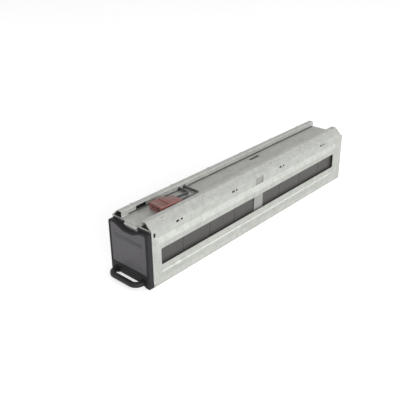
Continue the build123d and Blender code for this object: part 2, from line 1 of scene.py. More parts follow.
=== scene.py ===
"""Looks of a rack battery cartridge: galvanised case, moulded front, pull loop, connector and wiring."""
import logging
import math
from collections.abc import Callable
from dataclasses import dataclass, field
from enum import Enum
from functools import cache

import bmesh
import bpy
from mathutils import Matrix, Vector


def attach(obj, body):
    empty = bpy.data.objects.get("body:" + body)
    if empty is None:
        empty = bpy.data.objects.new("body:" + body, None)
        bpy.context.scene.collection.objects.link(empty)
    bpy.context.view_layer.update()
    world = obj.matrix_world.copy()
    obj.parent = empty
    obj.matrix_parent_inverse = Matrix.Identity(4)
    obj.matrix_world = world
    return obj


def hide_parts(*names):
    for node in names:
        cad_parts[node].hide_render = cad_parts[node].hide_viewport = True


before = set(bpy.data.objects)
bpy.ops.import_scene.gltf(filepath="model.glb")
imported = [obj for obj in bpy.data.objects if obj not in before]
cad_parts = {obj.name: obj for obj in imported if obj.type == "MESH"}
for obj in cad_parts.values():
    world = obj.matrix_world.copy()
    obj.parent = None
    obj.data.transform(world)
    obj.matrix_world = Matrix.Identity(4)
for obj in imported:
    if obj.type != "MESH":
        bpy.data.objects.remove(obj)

log = logging.getLogger("cartridge")
BODY = "root"
PHOTO_SIDE = 400

Colour = tuple[float, float, float]
Point = tuple[float, float, float]
Area = tuple[float, float, float, float]

WHITE: Colour = (1.0, 1.0, 1.0)
METAL_DUST: Colour = (0.55, 0.54, 0.50)
PLASTIC_DUST: Colour = (0.30, 0.29, 0.27)

# A face is turned to an axis where its normal's share of that axis is over FACING.
FACING = 0.9
# An edge is sharp where its faces meet at more than this angle, in radians.
SHARP = 1.0
# The Mix node's colour sockets come after those for numbers and vectors.
MIX_FACTOR, MIX_FIRST, MIX_SECOND, MIX_RESULT = 0, 6, 7, 2


class Effect(Enum):
    """Shader node groups that several finishes share."""

    SPANGLE = "zinc_spangle"
    GRAIN = "moulded_grain"
    EDGE = "worn_edge"
    DUST = "settled_dust"


class Pick(Enum):
    """What a selection in edit mode takes."""

    EDGES = "EDGE"
    FACES = "FACE"


@dataclass
class Wiring:
    """Adds and links the nodes of one shader tree."""

    tree: bpy.types.NodeTree

    def add(self, kind: str, **settings: object) -> bpy.types.Node:
        """Adds a node and sets its properties.

        Args:
            kind: The node's type name.
            settings: Properties of the node by name.
        Returns:
            The new node.
        """
        node = self.tree.nodes.new(kind)
        for name, value in settings.items():
            setattr(node, name, value)
        return node

    def feed(self, socket: bpy.types.NodeSocket, value: object) -> None:
        """Links a socket into an input, or sets the input to a plain value.

        Args:
            socket: The input to feed.
            value: An output socket or a plain value.
        """
        if isinstance(value, bpy.types.NodeSocket):
            self.tree.links.new(value, socket)
        else:
            socket.default_value = value

    def calc(self, operation: str, *values: object) -> bpy.types.NodeSocket:
        """Adds a Math node.

        Args:
            operation: The Math node's operation.
            values: Its inputs, as sockets or numbers.
        Returns:
            The node's result.
        """
        node = self.add("ShaderNodeMath", operation=operation)
        for socket, value in zip(node.inputs, values):
            self.feed(socket, value)
        return node.outputs[0]

    def spread(
        self, value: object, low: float, high: float, to_low: float, to_high: float
    ) -> bpy.types.NodeSocket:
        """Maps one range of a value to another with soft ends.

        Args:
            value: The socket to map.
            low: Start of the range read.
            high: End of the range read.
            to_low: Result at the start.
            to_high: Result at the end.
        Returns:
            The mapped value.
        """
        node = self.add("ShaderNodeMapRange", interpolation_type="SMOOTHSTEP")
        for socket, number in zip(node.inputs, (value, low, high, to_low, to_high)):
            self.feed(socket, number)
        return node.outputs["Result"]

    def blend(self, factor: object, first: object, second: object) -> bpy.types.NodeSocket:
        """Mixes two colours.

        Args:
            factor: Share of the second colour.
            first: First colour, as a socket or four numbers.
            second: Second colour, as a socket or four numbers.
        Returns:
            The mixed colour.
        """
        node = self.add("ShaderNodeMix", data_type="RGBA")
        self.feed(node.inputs[MIX_FACTOR], factor)
        self.feed(node.inputs[MIX_FIRST], first)
        self.feed(node.inputs[MIX_SECOND], second)
        return node.outputs[MIX_RESULT]

    def place(self) -> bpy.types.NodeSocket:
        """Gives object coordinates."""
        return self.add("ShaderNodeTexCoord").outputs["Object"]

    def noise(self, where: object, scale: object, detail: float = 2.0) -> bpy.types.NodeSocket:
        """Adds a noise texture.

        Args:
            where: Coordinates to read.
            scale: Features to the metre, as a socket or a number.
            detail: Octaves of finer noise.
        Returns:
            The noise value.
        """
        node = self.add("ShaderNodeTexNoise")
        self.feed(node.inputs["Vector"], where)
        self.feed(node.inputs["Scale"], scale)
        self.feed(node.inputs["Detail"], detail)
        return node.outputs[0]

    def relief(self, shader: bpy.types.Node, height: object, depth: float, strength: float) -> None:
        """Feeds a fine relief into a shader's normal.

        Args:
            shader: The Principled node.
            height: The relief's height.
            depth: How deep it goes, in metres.
            strength: How much of it shows.
        """
        bump = self.add("ShaderNodeBump")
        bump.inputs["Distance"].default_value = depth
        bump.inputs["Strength"].default_value = strength
        self.feed(bump.inputs["Height"], height)
        self.feed(shader.inputs["Normal"], bump.outputs[0])


@dataclass
class EffectLibrary:
    """Builds each shared effect once and places it in materials."""

    fine_crystals: float = 2.3
    fine_share: float = 0.4
    blotch_scale: float = 26.0
    scuff_scale: float = 160.0
    dust_scale: float = 34.0
    groups: dict[Effect, bpy.types.NodeTree] = field(default_factory=dict)

    def open_group(self, effect: Effect, inputs: dict[str, float], outputs: list[str]) -> Wiring:
        """Makes an empty group with value sockets.

        Args:
            effect: The effect's name.
            inputs: Names and starting values of the inputs.
            outputs: Names of the outputs.
        Returns:
            The wiring of the new group.
        """
        tree = bpy.data.node_groups.new(effect.value, "ShaderNodeTree")
        for name, value in inputs.items():
            socket = tree.interface.new_socket(name, in_out="INPUT", socket_type="NodeSocketFloat")
            socket.default_value = value
        for name in outputs:
            tree.interface.new_socket(name, in_out="OUTPUT", socket_type="NodeSocketFloat")
        self.groups[effect] = tree
        return Wiring(tree)

    def build_spangle(self) -> None:
        """Zinc crystals: flat cells of slightly different tone, with a soft waviness of the sheet."""
        sheet = self.open_group(
            Effect.SPANGLE, {"Scale": 100.0, "Wave": 14.0}, ["Tone", "Sheen", "Height"]
        )
        given = sheet.add("NodeGroupInput")
        done = sheet.add("NodeGroupOutput")
        where = sheet.place()
        crystals = []
        for finer in (1.0, self.fine_crystals):
            cells = sheet.add("ShaderNodeTexVoronoi", feature="F1", distance="EUCLIDEAN")
            sheet.feed(cells.inputs["Vector"], where)
            sheet.feed(cells.inputs["Scale"], sheet.calc("MULTIPLY", given.outputs["Scale"], finer))
            split = sheet.add("ShaderNodeSeparateColor")
            sheet.feed(split.inputs[0], cells.outputs["Color"])
            crystals.append(split.outputs)
        coarse, fine = crystals
        tone = sheet.calc("MULTIPLY", coarse["Red"], 1 - self.fine_share)
        tone = sheet.calc("MULTIPLY_ADD", fine["Red"], self.fine_share, tone)
        sheet.feed(done.inputs["Tone"], tone)
        sheet.feed(done.inputs["Sheen"], coarse["Green"])
        sheet.feed(done.inputs["Height"], sheet.noise(where, given.outputs["Wave"]))

    def build_grain(self) -> None:
        """Fine spark-eroded grain of moulded plastic, with slow changes of tone."""
        skin = self.open_group(Effect.GRAIN, {"Scale": 1800.0}, ["Height", "Tone"])
        given = skin.add("NodeGroupInput")
        done = skin.add("NodeGroupOutput")
        where = skin.place()
        skin.feed(done.inputs["Height"], skin.noise(where, given.outputs["Scale"]))
        skin.feed(done.inputs["Tone"], skin.noise(where, self.blotch_scale, detail=3.0))

    def build_edge(self) -> None:
        """Mask of outer edges, from how far a rounded normal leans away from the face."""
        rim = self.open_group(Effect.EDGE, {"Radius": 0.0008}, ["Mask"])
        given = rim.add("NodeGroupInput")
        done = rim.add("NodeGroupOutput")
        rounded = rim.add("ShaderNodeBevel", samples=4)
        rim.feed(rounded.inputs["Radius"], given.outputs["Radius"])
        lean = rim.add("ShaderNodeVectorMath", operation="DOT_PRODUCT")
        rim.feed(lean.inputs[0], rounded.outputs[0])
        rim.feed(lean.inputs[1], rim.add("ShaderNodeNewGeometry").outputs["Normal"])
        scuffs = rim.noise(rim.place(), self.scuff_scale, detail=4.0)
        edge = rim.spread(lean.outputs["Value"], low=0.75, high=0.99, to_low=1.0, to_high=0.0)
        worn = rim.spread(scuffs, low=0.35, high=0.65, to_low=0.35, to_high=1.0)
        rim.feed(done.inputs["Mask"], rim.calc("MULTIPLY", edge, worn))

    def build_dust(self) -> None:
        """Mask of thin dust on faces that look up."""
        top = self.open_group(Effect.DUST, {"Amount": 0.3}, ["Mask"])
        given = top.add("NodeGroupInput")
        done = top.add("NodeGroupOutput")
        split = top.add("ShaderNodeSeparateXYZ")
        top.feed(split.inputs[0], top.add("ShaderNodeNewGeometry").outputs["Normal"])
        up = top.spread(split.outputs["Z"], low=0.5, high=1.0, to_low=0.0, to_high=1.0)
        clouds = top.noise(top.place(), self.dust_scale, detail=5.0)
        patches = top.spread(clouds, low=0.35, high=0.75, to_low=0.2, to_high=1.0)
        mask = top.calc("MULTIPLY", up, patches)
        top.feed(done.inputs["Mask"], top.calc("MULTIPLY", mask, given.outputs["Amount"]))

    def use(self, wires: Wiring, effect: Effect, **values: float) -> bpy.types.bpy_prop_collection:
        """Places an effect in a material.

        Args:
            wires: The material's wiring.
            effect: Which effect.
            values: Input values by name.
        Returns:
            The group node's outputs.
        """
        if effect not in self.groups:
            makers = {
                Effect.SPANGLE: self.build_spangle,
                Effect.GRAIN: self.build_grain,
                Effect.EDGE: self.build_edge,
                Effect.DUST: self.build_dust,
            }
            makers[effect]()
        node = wires.add("ShaderNodeGroup", node_tree=self.groups[effect])
        for name, value in values.items():
            node.inputs[name].default_value = value
        return node.outputs


EFFECTS = EffectLibrary()


def solid(colour: Colour) -> tuple[float, float, float, float]:
    """Gives a colour its alpha of one."""
    return (*colour, 1.0)


def scaled(colour: Colour, share: float) -> tuple[float, float, float, float]:
    """Gives a lighter or darker copy of a colour, with an alpha of one."""
    return (*(min(1.0, channel * share) for channel in colour), 1.0)


def new_material(name: str) -> tuple[bpy.types.Material, Wiring, bpy.types.Node]:
    """Starts a node material.

    Args:
        name: The material's name.
    Returns:
        The material, its wiring and its Principled node.
    """
    material = bpy.data.materials.new(name)
    material.use_nodes = True
    wires = Wiring(material.node_tree)
    return material, wires, material.node_tree.nodes["Principled BSDF"]


@dataclass(frozen=True)
class ZincFinish:
    """Hot-dip galvanised or plated metal."""

    name: str
    slot: str
    colour: Colour
    roughness: float
    roughness_swing: float = 0.06
    metallic: float = 1.0
    spangle: float = 95.0
    contrast: float = 0.10
    wave: float = 16.0
    wave_height: float = 0.0006
    wave_strength: float = 0.5
    edge_radius: float = 0.0007
    edge_share: float = 0.6
    edge_gain: float = 1.35
    dust: float = 0.25
    dust_share: float = 0.35
    dust_roughness: float = 0.2

    def material(self) -> bpy.types.Material:
        """Builds the metal with its crystals, soft waves, brighter edges and dust.

        Returns:
            The material.
        """
        material, wires, shader = new_material(self.name)
        zinc = EFFECTS.use(wires, Effect.SPANGLE, Scale=self.spangle, Wave=self.wave)
        edge = EFFECTS.use(wires, Effect.EDGE, Radius=self.edge_radius)
        dust = EFFECTS.use(wires, Effect.DUST, Amount=self.dust)
        low, high = scaled(self.colour, 1 - self.contrast), scaled(self.colour, 1 + self.contrast)
        tone = wires.blend(zinc["Tone"], low, high)
        worn = wires.calc("MULTIPLY", edge["Mask"], self.edge_share)
        tone = wires.blend(worn, tone, scaled(self.colour, self.edge_gain))
        dusty = wires.calc("MULTIPLY", dust["Mask"], self.dust_share)
        tone = wires.blend(dusty, tone, solid(METAL_DUST))
        wires.feed(shader.inputs["Base Color"], tone)
        shader.inputs["Metallic"].default_value = self.metallic
        smooth, coarse = self.roughness - self.roughness_swing, self.roughness + self.roughness_swing
        rough = wires.spread(zinc["Sheen"], low=0.0, high=1.0, to_low=smooth, to_high=coarse)
        rough = wires.calc("MULTIPLY_ADD", dust["Mask"], self.dust_roughness, rough)
        wires.feed(shader.inputs["Roughness"], rough)
        wires.relief(shader, zinc["Height"], self.wave_height, self.wave_strength)
        return material


@dataclass(frozen=True)
class PlasticFinish:
    """Moulded plastic, film, foam or rubber."""

    name: str
    slot: str
    colour: Colour
    roughness: float
    roughness_swing: float = 0.05
    specular: float = 0.5
    variation: float = 0.12
    grain: float = 1800.0
    grain_height: float = 0.00006
    grain_strength: float = 0.6
    edge_radius: float = 0.0006
    wear: float = 0.5
    rub_gain: float = 1.5
    rub_lift: float = 0.03
    rub_gloss: float = -0.08
    dust: float = 0.25

    def material(self) -> bpy.types.Material:
        """Builds the plastic with its grain, slow tone, rubbed edges and dust.

        Returns:
            The material.
        """
        material, wires, shader = new_material(self.name)
        skin = EFFECTS.use(wires, Effect.GRAIN, Scale=self.grain)
        edge = EFFECTS.use(wires, Effect.EDGE, Radius=self.edge_radius)
        dust = EFFECTS.use(wires, Effect.DUST, Amount=self.dust)
        low, high = scaled(self.colour, 1 - self.variation), scaled(self.colour, 1 + self.variation)
        tone = wires.blend(skin["Tone"], low, high)
        rubbed = tuple(channel * self.rub_gain + self.rub_lift for channel in self.colour)
        tone = wires.blend(wires.calc("MULTIPLY", edge["Mask"], self.wear), tone, solid(rubbed))
        tone = wires.blend(dust["Mask"], tone, solid(PLASTIC_DUST))
        wires.feed(shader.inputs["Base Color"], tone)
        smooth, coarse = self.roughness - self.roughness_swing, self.roughness + self.roughness_swing
        rough = wires.spread(skin["Tone"], low=0.3, high=0.7, to_low=smooth, to_high=coarse)
        rough = wires.calc("MULTIPLY_ADD", edge["Mask"], self.rub_gloss, rough)
        wires.feed(shader.inputs["Roughness"], rough)
        shader.inputs["Specular IOR Level"].default_value = self.specular
        wires.relief(shader, skin["Height"], self.grain_height, self.grain_strength)
        return material


Finish = ZincFinish | PlasticFinish

CASE_ZINC = ZincFinish("case_zinc", "galvanised_case", (0.475, 0.483, 0.455), 0.52, metallic=0.82)
COVER_ZINC = ZincFinish(
    "cover_zinc", "galvanised_cover", (0.49, 0.498, 0.471), 0.48, spangle=105.0, metallic=0.35
)
SCREW_ZINC = ZincFinish(
    "screw_zinc", "screw_steel", (0.50, 0.50, 0.48), 0.34, spangle=900.0, contrast=0.05
)
DIVIDER_METAL = ZincFinish(
    "divider_metal",
    "divider_aluminium",
    (0.34, 0.34, 0.33),
    0.50,
    spangle=40.0,
    contrast=0.04,
    metallic=0.6,
)
TAB_METAL = ZincFinish(
    "tab_metal", "terminal_metal", (0.70, 0.69, 0.64), 0.28, spangle=700.0, contrast=0.05
)
CONTACT_METAL = ZincFinish(
    "contact_metal", "contact_metal", (0.74, 0.73, 0.70), 0.25, spangle=700.0, contrast=0.05
)
BEZEL_PLASTIC = PlasticFinish(
    "bezel_plastic", "bezel_plastic", (0.028, 0.026, 0.0285), 0.55, specular=0.18, dust=0.03
)
LABEL_FILM = PlasticFinish(
    "label_film", "label_film", (0.105, 0.099, 0.108), 0.45, grain=900.0, variation=0.10
)
LABEL_PALE = PlasticFinish(
    "label_pale_print", "label_film", (0.150, 0.144, 0.153), 0.48, grain=900.0, wear=0.2
)
LABEL_DARK = PlasticFinish(
    "label_dark_print", "label_film", (0.068, 0.065, 0.070), 0.48, grain=900.0, wear=0.2
)
HANDLE_PLASTIC = PlasticFinish(
    "handle_plastic", "handle_plastic", (0.012, 0.012, 0.013), 0.45, specular=0.3, dust=0.05
)
CONNECTOR_PLASTIC = PlasticFinish("connector_plastic", "connector_plastic", (0.275, 0.108, 0.094), 0.45)
BATTERY_PLASTIC = PlasticFinish(
    "battery_plastic", "battery_case", (0.066, 0.064, 0.060), 0.50, grain=1200.0
)
BOOT_PLASTIC = PlasticFinish("boot_plastic", "boot_plastic", (0.03, 0.03, 0.032), 0.5)
WIRE_SKIN = PlasticFinish("wire_skin", "wire_black", (0.040, 0.041, 0.038), 0.42, grain=700.0)
# Dark finish of the strips at the rails' feet: painted shade along the fold.
RAIL_FOOT_SHADE = PlasticFinish(
    "rail_foot_painted_shade", "boot_plastic", (0.075, 0.077, 0.070), 0.7, grain=900.0, dust=0.35
)
LINER_PLASTIC = PlasticFinish("liner_plastic", "liner_plastic", (0.05, 0.05, 0.05), 0.4)
FOAM = PlasticFinish(
    "foam_pad", "foam", (0.045, 0.045, 0.045), 0.85, grain=500.0, grain_height=0.0004, specular=0.2
)


@cache
def material_of(finish: Finish) -> bpy.types.Material:
    """Builds a finish once for all the pieces that wear it."""
    return finish.material()


def dress(finish: Finish, *nodes: str) -> None:
    """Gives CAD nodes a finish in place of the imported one.

    Args:
        finish: The finish to wear.
        nodes: Names of the nodes.
    """
    for name in nodes:
        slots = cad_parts[name].data.materials
        slots.clear()
        slots.append(material_of(finish))
        log.info("dressed %s in %s", name, finish.name)


def start_piece(name: str, add: Callable[..., object], **sizes: object) -> bpy.types.Object:
    """Adds a primitive with nothing else selected, its place in its mesh, and opens it in edit mode.

    Args:
        name: The piece's name.
        add: The operator that adds the primitive.
        sizes: The operator's settings.
    Returns:
        The new object.
    """
    bpy.ops.object.select_all(action="DESELECT")
    add(**sizes)
    piece = bpy.context.object
    piece.name = name
    bpy.ops.object.transform_apply(location=True, rotation=True, scale=True)
    bpy.ops.object.mode_set(mode="EDIT")
    return piece


def start_box(name: str, size: Point | Vector, middle: Point | Vector) -> bpy.types.Object:
    """Starts a piece as a box of a size round its middle, open in edit mode."""
    return start_piece(name, bpy.ops.mesh.primitive_cube_add, size=1.0, scale=size, location=middle)


def size_and_middle(low: Point, high: Point) -> tuple[Vector, Vector]:
    """Gives the size and the middle of the box between two corners."""
    return Vector(high) - Vector(low), (Vector(high) + Vector(low)) / 2


def pick(piece: bpy.types.Object, kind: Pick, test: Callable[[object], bool]) -> None:
    """Selects the edges or faces of a piece in edit mode that pass a test.

    Args:
        piece: The object in edit mode.
        kind: Edges or faces.
        test: Says whether an element is taken.
    """
    bpy.ops.mesh.select_mode(type=kind.value)
    bpy.ops.mesh.select_all(action="DESELECT")
    mesh = bmesh.from_edit_mesh(piece.data)
    mesh.normal_update()
    for item in mesh.edges if kind is Pick.EDGES else mesh.faces:
        item.select_set(test(item))
    mesh.select_flush_mode()
    bmesh.update_edit_mesh(piece.data)


def push(offset: Point) -> None:
    """Extrudes the selected faces by an offset."""
    bpy.ops.mesh.extrude_region_move(TRANSFORM_OT_translate={"value": offset})


def close_piece(smooth: float = 35.0) -> None:
    """Recalculates the open piece's normals, leaves edit mode and smooths its shading.

    Args:
        smooth: Steepest edge that is shaded smooth, in degrees.
    """
    bpy.ops.mesh.select_all(action="SELECT")
    bpy.ops.mesh.normals_make_consistent(inside=False)
    bpy.ops.object.mode_set(mode="OBJECT")
    bpy.ops.object.shade_smooth_by_angle(angle=math.radians(smooth))


def carve(piece: bpy.types.Object, *tools: bpy.types.Object) -> None:
    """Cuts tools out of a piece and removes them.

    Args:
        piece: The object to cut.
        tools: The objects to take away from it.
    """
    bpy.ops.object.select_all(action="DESELECT")
    bpy.context.view_layer.objects.active = piece
    for tool in tools:
        cut = piece.modifiers.new("cut", "BOOLEAN")
        cut.operation = "DIFFERENCE"
        cut.object = tool
        bpy.ops.object.modifier_apply(modifier=cut.name)
        bpy.data.objects.remove(tool)


def join(name: str, pieces: list[bpy.types.Object]) -> bpy.types.Object:
    """Joins finished objects into one piece.

    Args:
        name: Name of the joined piece.
        pieces: The objects to join.
    Returns:
        The joined piece.
    """
    bpy.ops.object.select_all(action="DESELECT")
    for piece in pieces:
        piece.select_set(True)
    bpy.context.view_layer.objects.active = pieces[0]
    bpy.ops.object.join()
    pieces[0].name = name
    return pieces[0]


def scatter(pattern: bpy.types.Object, name: str, places: list[Matrix]) -> bpy.types.Object:
    """Copies a pattern to its places, each copy with its own mesh, and joins the copies.

    Args:
        pattern: The modelled piece, which is removed.
        name: Name of the joined piece.
        places: Where the copies go.
    Returns:
        The joined piece.
    """
    copies = []
    for place in places:
        copy = pattern.copy()
        copy.data = pattern.data.copy()
        copy.data.transform(place)
        bpy.context.scene.collection.objects.link(copy)
        copies.append(copy)
    bpy.data.objects.remove(pattern)
    return join(name, copies)


def both_sides(y: float) -> list[Matrix]:
    """Places of a piece and of its copy half a turn round, both with their middle at the same Y."""
    across = Matrix.Translation((0.0, 2 * y, 0.0)) @ Matrix.Rotation(math.pi, 4, "Z")
    return [Matrix.Identity(4), across]


def settle(piece: bpy.types.Object, finish: Finish, *stands_for: str) -> None:
    """Gives a new piece its finish and sets it on the frame.

    Args:
        piece: The finished object.
        finish: What it wears.
        stands_for: CAD nodes that it replaces.
    """
    piece.data.materials.clear()
    piece.data.materials.append(material_of(finish))
    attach(piece, BODY)
    if stands_for:
        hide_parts(*stands_for)
    log.info("built %s", piece.name)


def rounded_plate(name: str, low: Point, high: Point, thin: int, corner: float) -> bpy.types.Object:
    """A thin plate with rounded corners and softened rims.

    Args:
        name: The plate's name.
        low: Its lowest corner.
        high: Its highest corner.
        thin: Axis of its thickness, 0 to 2.
        corner: Radius of its corners.
    Returns:
        The plate.
    """
    size, middle = size_and_middle(low, high)
    plate = start_box(name, size, middle)
    half = size[thin] / 2
    pick(plate, Pick.EDGES, lambda edge: abs(edge.verts[0].co[thin] - edge.verts[1].co[thin]) > half)
    bpy.ops.mesh.bevel(offset=corner, segments=5, affect="EDGES")
    pick(plate, Pick.EDGES, lambda edge: abs(edge.verts[0].co[thin] - edge.verts[1].co[thin]) < half)
    bpy.ops.mesh.bevel(offset=half / 3, segments=2, affect="EDGES")
    close_piece()
    return plate


@dataclass
class CoverScrews:
    """Pan-head screws with a cross recess along both slopes of the cover."""

    rows: int = 6
    first_y: float = -0.2412
    pitch: float = 0.1
    x: float = 0.0393
    z: float = 0.11728
    slope: float = 37.93
    head_radius: float = 0.0026
    head_height: float = 0.0013
    head_facets: int = 40
    crown: float = 0.0007
    shank_radius: float = 0.0014
    shank_length: float = 0.0028
    arm_width: float = 0.0006
    arm_reach: float = 0.0011
    recess: float = 0.0007
    taper: float = 0.7
    stop_turn: float = 0.9
    side_turn: float = 0.4

    def build_head(self) -> bpy.types.Object:
        """Head with a rounded crown over a plain shank.

        Returns:
            The screw without its recess, standing on Z = 0.
        """
        sizes = {"radius": self.head_radius, "depth": self.head_height, "vertices": self.head_facets}
        middle = (0.0, 0.0, self.head_height / 2)
        screw = start_piece("cover_screw", bpy.ops.mesh.primitive_cylinder_add, location=middle, **sizes)
        pick(screw, Pick.EDGES, lambda edge: all(v.co.z > middle[2] for v in edge.verts))
        bpy.ops.mesh.bevel(offset=self.crown, segments=4, affect="EDGES")
        pick(screw, Pick.FACES, lambda face: face.normal.z < -FACING)
        bpy.ops.mesh.inset(thickness=self.head_radius - self.shank_radius)
        push((0.0, 0.0, -self.shank_length))
        close_piece()
        return screw

    def build_driver(self) -> bpy.types.Object:
        """The screwdriver's tip: a cross whose arms narrow downwards.

        Returns:
            The tool that cuts the recess.
        """
        size = (self.arm_width, self.arm_width, 2 * self.recess)
        tip = start_box("driver_tip", size, (0.0, 0.0, self.head_height))
        for x, y in ((1, 0), (-1, 0), (0, 1), (0, -1)):
            way, aside = Vector((x, y, 0)), Vector((y, x, 0))
            pick(
                tip,
                Pick.FACES,
                lambda face: face.normal.dot(way) > FACING
                and abs(face.calc_center_median().dot(aside)) < self.arm_width / 2,
            )
            push(tuple(way * self.arm_reach))
        pick(tip, Pick.FACES, lambda face: face.normal.z < -FACING)
        bpy.ops.transform.resize(value=(self.taper, self.taper, 1.0))
        close_piece(smooth=0.0)
        return tip

    def build(self) -> None:
        """Cuts the recess and sets the screws, each stopped at its own turn."""
        screw = self.build_head()
        carve(screw, self.build_driver())
        places = []
        for side in (-1, 1):
            lean = Matrix.Rotation(side * math.radians(self.slope), 4, "Y")
            for row in range(self.rows):
                turn = Matrix.Rotation((row + self.side_turn * side) * self.stop_turn, 4, "Z")
                spot = Matrix.Translation((side * self.x, self.first_y + row * self.pitch, self.z))
                places.append(spot @ lean @ turn)
        settle(scatter(screw, "cover_screws_cross", places), SCREW_ZINC, "cover_screws")


@dataclass
class SteelCase:
    """The folded tray, its cover, the divider between the bays, small trim on the sheet metal and dark
    strips of painted shade at the feet of the rails.
    """

    side_x: float = 0.048
    lance_first_y: float = -0.2112
    lance_pitch: float = 0.147
    lances: int = 4
    lance_z: float = 0.1045
    lance_size: Point = (0.0008, 0.0034, 0.0062)
    lance_rise: float = 0.0007
    lance_shoulder: float = 0.0008
    plate_low: Point = (-0.0243, -0.1530, 0.1108)
    plate_high: Point = (-0.0232, -0.1114, 0.1197)
    plate_corner: float = 0.0018
    bush_y: tuple[float, float] = (-0.1392, -0.1252)
    bush_z: float = 0.1139
    bush_radius: float = 0.0033
    bush_depth: float = 0.0024
    bush_rim: float = 0.0007
    bush_facets: int = 32
    # Dark strips of painted shade at the foot of both rails.
    shade_strip_corner: Point = (-0.0243, -0.2620, 0.1102)
    shade_strip_size: Point = (0.0024, 0.5580, 0.0024)
    shade_strip_slope: float = 0.0021
    shade_strip_hollow: float = 0.3
    skid_low: Point = (0.04690, -0.2768, 0.0)
    skid_high: Point = (0.04806, 0.3096, 0.0098)
    skid_foot: tuple[float, float] = (0.0043, 0.0055)
    skid_reach: float = 0.0090
    skid_edge: float = 0.0003

    def build_lances(self) -> None:
        """Raised bridges between the slots of each lance, on both sides."""
        bridge = start_box("lance", self.lance_size, (self.side_x, 0.0, self.lance_z))
        pick(bridge, Pick.FACES, lambda face: face.normal.x > FACING)
        bpy.ops.mesh.inset(thickness=self.lance_shoulder)
        bpy.ops.transform.translate(value=(self.lance_rise, 0.0, 0.0))
        pick(bridge, Pick.EDGES, lambda edge: all(v.co.x > self.side_x for v in edge.verts))
        bpy.ops.mesh.bevel(offset=self.lance_shoulder / 3, segments=2, affect="EDGES")
        close_piece()
        places = []
        for turn in (0.0, math.pi):
            for step in range(self.lances):
                along = Matrix.Translation((0.0, self.lance_first_y + step * self.lance_pitch, 0.0))
                places.append(along @ Matrix.Rotation(turn, 4, "Z"))
        settle(scatter(bridge, "case_lances", places), CASE_ZINC)

    def build_lead_entry(self) -> None:
        """Plate over the lead slot of the left rail, with a bushing round each lead."""
        plate = rounded_plate("lead_plate", self.plate_low, self.plate_high, 0, self.plate_corner)
        settle(plate, COVER_ZINC)
        sizes = {"radius": self.bush_radius, "depth": self.bush_depth, "vertices": self.bush_facets}
        lying = (0.0, math.pi / 2, 0.0)
        bush = start_piece("bushing", bpy.ops.mesh.primitive_cylinder_add, rotation=lying, **sizes)
        pick(bush, Pick.EDGES, lambda edge: all(v.co.x > 0 for v in edge.verts))
        bpy.ops.mesh.bevel(offset=self.bush_rim / 2, segments=3, affect="EDGES")
        pick(bush, Pick.FACES, lambda face: face.normal.x > FACING)
        bpy.ops.mesh.inset(thickness=self.bush_rim)
        push((-self.bush_depth / 3, 0.0, 0.0))
        close_piece()
        places = [Matrix.Translation((self.plate_high[0], y, self.bush_z)) for y in self.bush_y]
        settle(scatter(bush, "lead_bushings", places), BOOT_PLASTIC)

    def build_rail_foot_shade(self) -> None:
        """Dark strips in the folds at the foot of both rails: painted shade where each rail shades the
        valley floor beside it.
        """
        size = Vector(self.shade_strip_size)
        middle = Vector(self.shade_strip_corner) + size / 2
        shade_strip = start_box("shade_strip", size, middle)
        pick(
            shade_strip,
            Pick.EDGES,
            lambda edge: all(v.co.x > middle.x and v.co.z > middle.z for v in edge.verts),
        )
        bpy.ops.mesh.bevel(offset=self.shade_strip_slope, segments=4, profile=self.shade_strip_hollow, affect="EDGES")
        close_piece()
        # The dark strips paint the shade at the foot of each rail.
        settle(scatter(shade_strip, "rail_foot_shade_strips", both_sides(middle.y)), RAIL_FOOT_SHADE)

    def build_skids(self) -> None:
        """Angle strips along the lower edges of the sides, down to what the case stands on."""
        size, middle = size_and_middle(self.skid_low, self.skid_high)
        skid = start_box("skid", size, middle)
        low, high = self.skid_foot
        for height in self.skid_foot:
            bpy.ops.mesh.select_all(action="SELECT")
            bpy.ops.mesh.bisect(plane_co=(0.0, 0.0, height), plane_no=(0.0, 0.0, 1.0))
        pick(
            skid,
            Pick.FACES,
            lambda face: face.normal.x < -FACING and low < face.calc_center_median().z < high,
        )
        push((-self.skid_reach, 0.0, 0.0))
        pick(
            skid,
            Pick.EDGES,
            lambda edge: all(v.co.x > middle.x for v in edge.verts) and edge.calc_face_angle(0.0) > SHARP,
        )
        bpy.ops.mesh.bevel(offset=self.skid_edge, segments=2, affect="EDGES")
        close_piece()
        settle(scatter(skid, "case_skids", both_sides(middle.y)), CASE_ZINC)

    def build(self) -> None:
        """Gives the sheet metal its zinc and the divider its aluminium, and adds the trim and the strips of
        painted shade.
        """
        dress(CASE_ZINC, "case_tray")
        dress(COVER_ZINC, "top_cover")
        dress(DIVIDER_METAL, "centre_divider")
        dress(SCREW_ZINC, "handle_screws")
        self.build_lances()
        self.build_lead_entry()
        self.build_rail_foot_shade()
        self.build_skids()


